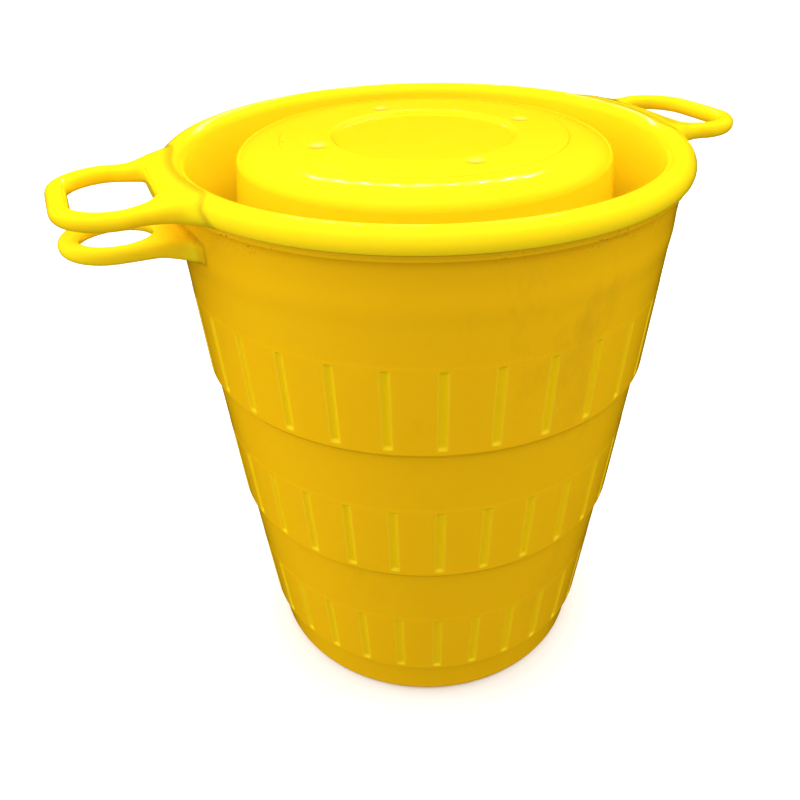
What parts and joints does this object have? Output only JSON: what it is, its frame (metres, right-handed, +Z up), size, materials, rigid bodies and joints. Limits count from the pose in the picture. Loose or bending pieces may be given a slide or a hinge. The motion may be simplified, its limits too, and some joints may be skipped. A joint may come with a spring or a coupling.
{
  "type": "wasp trap",
  "caption": "Hanging bucket trap for wasps: a tapered fluted bucket, a funnel lid with a gutter and hanging loops, and a round rain cap over the throat.",
  "frame": {"origin": "centre of the bucket's foot, on the surface that the trap stands on; it is also the centre of the bottom of the whole trap's box", "axes": "+Z up along the trap's round axis, X along the line through the lid's two hanging loops (the bucket's own loop is on the -X side), Y across it"},
  "size_m": [0.1776, 0.13, 0.1519],
  "materials": {
    "bucket_plastic": "moulded yellow polypropylene, satin gloss, slightly translucent, scuffed",
    "lid_plastic": "moulded yellow polypropylene, satin gloss, slightly translucent",
    "cap_plastic": "moulded yellow polypropylene, satin gloss, slightly translucent"
  },
  "bodies": {
    "bucket": {"bucket": "bucket_plastic"},
    "funnel_lid": {"funnel_lid": "lid_plastic"},
    "rain_cap": {"rain_cap": "cap_plastic"}
  },
  "joints": [
    {"name": "lid_lift", "type": "slide", "parent": "bucket", "child": "funnel_lid", "axis": [0, 0, 1], "range_m": [0, 0.08]},
    {"name": "cap_lift", "type": "slide", "parent": "funnel_lid", "child": "rain_cap", "axis": [0, 0, 1], "range_m": [0, 0.04]}
  ]
}
